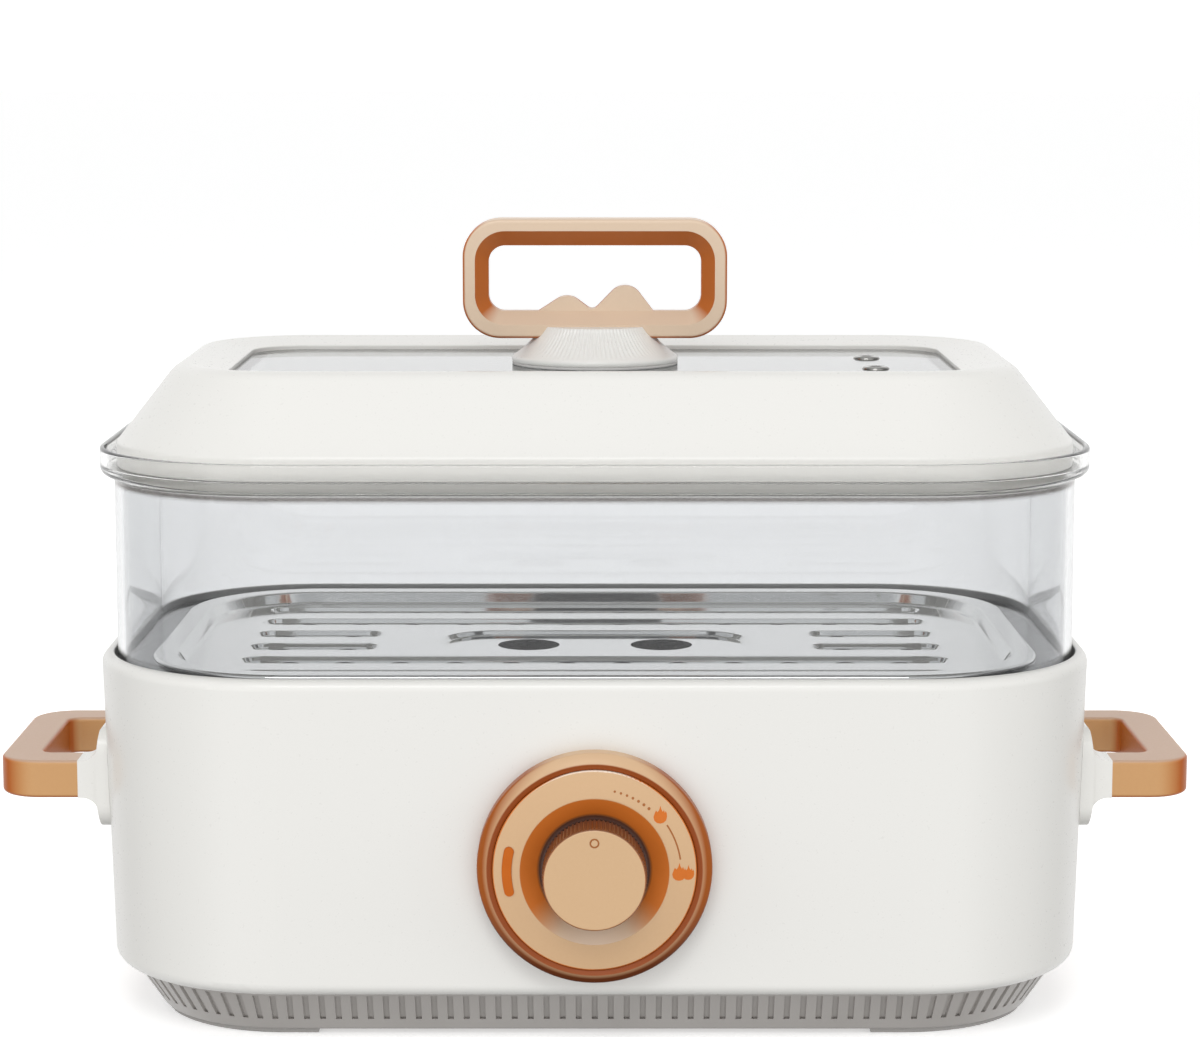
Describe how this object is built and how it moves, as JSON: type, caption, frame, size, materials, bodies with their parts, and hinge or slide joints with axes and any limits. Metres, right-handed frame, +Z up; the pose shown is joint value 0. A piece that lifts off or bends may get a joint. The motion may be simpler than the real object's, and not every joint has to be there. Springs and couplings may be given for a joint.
{
  "type": "food steamer",
  "caption": "Electric countertop cooker with a clear steamer box, perforated steel tray, windowed lid with a loop handle, side handles and a front temperature dial.",
  "frame": {"origin": "on the table under the middle of the whole object, knob and inlet included", "axes": "+X to the right seen from the front, along the long side; +Y from the dial to the back; +Z up"},
  "size_m": [0.3956, 0.2182, 0.2581],
  "materials": {
    "white_gloss_plastic": "glossy moulded polypropylene, cream white",
    "grey_plastic": "satin moulded plastic, warm grey",
    "grey_rubber": "moulded silicone rubber",
    "copper_plastic": "copper-coloured painted plastic, satin",
    "orange_lens": "clear orange lens",
    "clear_plastic": "clear moulded plastic",
    "window_glass": "toughened glass",
    "polished_steel": "polished pressed stainless steel",
    "screw_steel": "zinc-plated steel",
    "pan_coating": "die-cast aluminium with a dark non-stick coating",
    "cast_aluminium": "as cast",
    "heater_steel": "heat-tinted steel tube",
    "shield_steel": "aluminised sheet",
    "black_plastic": "moulded heat-resistant plastic",
    "brass": "bare brass",
    "copper_pipe": "drawn copper tube",
    "lamp_glass": "small neon lamp",
    "wire_sleeve": "sleeved wire",
    "eyelet_metal": "plated brass eyelet"
  },
  "bodies": {
    "base_unit": {"base_plinth": "grey_plastic", "rubber_feet": "grey_rubber", "bottom_plate": "grey_plastic", "base_screws": "screw_steel", "outer_housing": "white_gloss_plastic", "pan_seal": "grey_rubber", "cooking_pan": "pan_coating", "heating_plate": "cast_aluminium", "heater_tube": "heater_steel", "heater_straps": "screw_steel", "strap_screws": "screw_steel", "thermal_cutout": "black_plastic", "sensor_bulb": "copper_pipe", "heat_shield": "shield_steel", "dial_face": "copper_plastic", "dial_bezel": "copper_plastic", "dial_screws": "screw_steel", "lamp_lens": "orange_lens", "pilot_lamp": "lamp_glass", "thermostat": "black_plastic", "thermostat_screws": "screw_steel", "internal_wires": "wire_sleeve", "right_handle_grip": "copper_plastic", "left_handle_grip": "copper_plastic", "right_handle_bracket": "white_gloss_plastic", "left_handle_bracket": "white_gloss_plastic", "handle_screws": "screw_steel", "power_inlet": "black_plastic", "inlet_pins": "brass", "inlet_screws": "screw_steel"},
    "knob": {"control_knob": "copper_plastic", "knob_shaft": "screw_steel"},
    "box": {"steamer_box": "clear_plastic"},
    "tray": {"steam_tray": "polished_steel"},
    "lid": {"lid_frame": "white_gloss_plastic", "lid_window": "window_glass", "window_gasket": "grey_rubber", "vent_eyelets": "eyelet_metal", "pedestal_gasket": "grey_rubber", "handle_pedestal": "white_gloss_plastic", "lid_handle": "copper_plastic", "clamp_plate": "screw_steel", "lid_handle_screws": "screw_steel"}
  },
  "joints": [
    {"name": "knob_turn", "type": "hinge", "parent": "base_unit", "child": "knob", "pos_m": [0, -0.08746, 0.0603], "axis": [0, 1, 0], "range_deg": [0, 95]},
    {"name": "box_lift", "type": "slide", "parent": "base_unit", "child": "box", "axis": [0, 0, 1], "range_m": [0, 0.12]},
    {"name": "lid_lift", "type": "slide", "parent": "box", "child": "lid", "axis": [0, 0, 1], "range_m": [0, 0.14]},
    {"name": "tray_lift", "type": "slide", "parent": "box", "child": "tray", "axis": [0, 0, 1], "range_m": [0, 0.055]}
  ]
}
